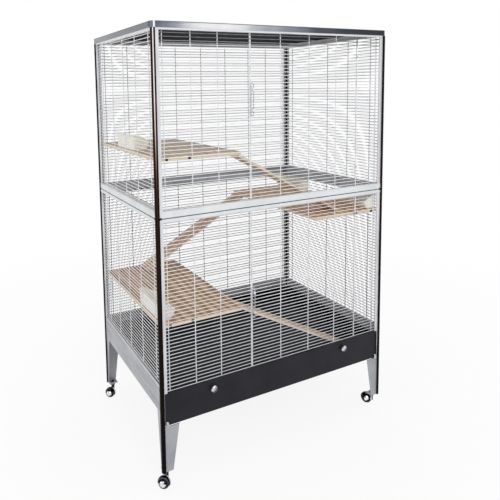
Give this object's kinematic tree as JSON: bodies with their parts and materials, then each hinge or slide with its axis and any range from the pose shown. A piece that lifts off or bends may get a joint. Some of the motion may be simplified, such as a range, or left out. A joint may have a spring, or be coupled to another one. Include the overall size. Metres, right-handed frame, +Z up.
{
  "type": "ferret cage",
  "caption": "Tall two-level wire cage with hinged doors, wooden shelves and ramps, corner bowls and a slide-out tray, standing on ball castors.",
  "frame": {"origin": "centre of the box at floor level, between the four castors", "axes": "+X to the right along the front, +Y from the front to the back, +Z up"},
  "size_m": [0.9826, 0.6486, 1.494],
  "materials": {
    "post": "gloss",
    "sheet": "satin",
    "rail": "satin",
    "roof": "satin",
    "guide": "satin",
    "wire": "satin",
    "fitting": "gloss",
    "tray": "gloss",
    "drawer_front": "satin",
    "shelf_wood": "satin",
    "bowl": "satin",
    "black_fixing": "satin",
    "castor": "gloss"
  },
  "bodies": {
    "cage": {"corner_post_fl": "post", "corner_post_fr": "post", "corner_post_bl": "post", "corner_post_br": "post", "corner_angle_fl": "sheet", "corner_angle_fr": "sheet", "corner_angle_bl": "sheet", "corner_angle_br": "sheet", "top_rail": "rail", "roof_panel": "roof", "upper_base_frame": "sheet", "lower_top_frame": "sheet", "mid_guide_left": "guide", "mid_guide_right": "guide", "mid_guide_back": "guide", "side_apron_left": "sheet", "side_apron_right": "sheet", "back_apron": "sheet", "left_mesh_upper": "wire", "left_mesh_lower": "wire", "right_mesh_upper": "wire", "right_mesh_lower": "wire", "back_mesh_upper": "wire", "back_mesh_lower": "wire", "front_left_upper": "wire", "front_right_upper": "wire", "front_left_lower": "wire", "front_right_lower": "wire", "door_hinges": "fitting", "tray_runners": "sheet", "shelf_upper_left": "shelf_wood", "shelf_middle_right": "shelf_wood", "shelf_lower_left": "shelf_wood", "ramp_upper": "shelf_wood", "ramp_middle": "shelf_wood", "ramp_lower": "shelf_wood", "bowl_upper_left": "bowl", "bowl_middle_back": "bowl", "bowl_middle_front": "bowl", "bowl_lower_left": "bowl", "shelf_hooks": "black_fixing", "module_bolts": "black_fixing", "caster_plates": "sheet"},
    "door_upper": {"door_upper": "wire"},
    "door_lower": {"door_lower": "wire"},
    "latch_upper": {"latch_upper": "fitting"},
    "latch_lower": {"latch_lower": "fitting"},
    "drawer": {"tray": "tray", "drawer_front": "drawer_front", "drawer_knobs": "fitting", "drawer_catches": "fitting"},
    "caster_fl": {"caster_hood_fl": "castor"},
    "ball_fl": {"caster_ball_fl": "castor"},
    "caster_fr": {"caster_hood_fr": "castor"},
    "ball_fr": {"caster_ball_fr": "castor"},
    "caster_bl": {"caster_hood_bl": "castor"},
    "ball_bl": {"caster_ball_bl": "castor"},
    "caster_br": {"caster_hood_br": "castor"},
    "ball_br": {"caster_ball_br": "castor"}
  },
  "joints": [
    {"name": "door_upper_hinge", "type": "hinge", "parent": "cage", "child": "door_upper", "pos_m": [0.34, -0.29952, 1.19], "axis": [0, 0, 1], "range_deg": [0, 115]},
    {"name": "latch_upper_swing", "type": "hinge", "parent": "door_upper", "child": "latch_upper", "pos_m": [-0.1135, -0.3012, 1.25], "axis": [0, 0, 1], "range_deg": [0, 100]},
    {"name": "door_lower_hinge", "type": "hinge", "parent": "cage", "child": "door_lower", "pos_m": [0.34, -0.29952, 0.6], "axis": [0, 0, 1], "range_deg": [0, 115]},
    {"name": "latch_lower_swing", "type": "hinge", "parent": "door_lower", "child": "latch_lower", "pos_m": [-0.1135, -0.3012, 0.552], "axis": [0, 0, 1], "range_deg": [0, 100]},
    {"name": "drawer_slide", "type": "slide", "parent": "cage", "child": "drawer", "axis": [0, -1, 0], "range_m": [0, 0.44]},
    {"name": "caster_fl_swivel", "type": "hinge", "parent": "cage", "child": "caster_fl", "pos_m": [-0.453, -0.286, 0.05], "axis": [0, 0, 1], "continuous": true},
    {"name": "ball_fl_roll", "type": "hinge", "parent": "caster_fl", "child": "ball_fl", "pos_m": [-0.46997, -0.30297, 0.019], "axis": [0.7071, -0.7071, 0], "continuous": true},
    {"name": "caster_fr_swivel", "type": "hinge", "parent": "cage", "child": "caster_fr", "pos_m": [0.453, -0.286, 0.05], "axis": [0, 0, 1], "continuous": true},
    {"name": "ball_fr_roll", "type": "hinge", "parent": "caster_fr", "child": "ball_fr", "pos_m": [0.44883, -0.26236, 0.019], "axis": [-0.9848, -0.1736, 0], "continuous": true},
    {"name": "caster_bl_swivel", "type": "hinge", "parent": "cage", "child": "caster_bl", "pos_m": [-0.453, 0.286, 0.05], "axis": [0, 0, 1], "continuous": true},
    {"name": "ball_bl_roll", "type": "hinge", "parent": "caster_bl", "child": "ball_bl", "pos_m": [-0.46997, 0.26903, 0.019], "axis": [0.7071, -0.7071, 0], "continuous": true},
    {"name": "caster_br_swivel", "type": "hinge", "parent": "cage", "child": "caster_br", "pos_m": [0.453, 0.286, 0.05], "axis": [0, 0, 1], "continuous": true},
    {"name": "ball_br_roll", "type": "hinge", "parent": "caster_br", "child": "ball_br", "pos_m": [0.46997, 0.30297, 0.019], "axis": [-0.7071, 0.7071, 0], "continuous": true}
  ]
}
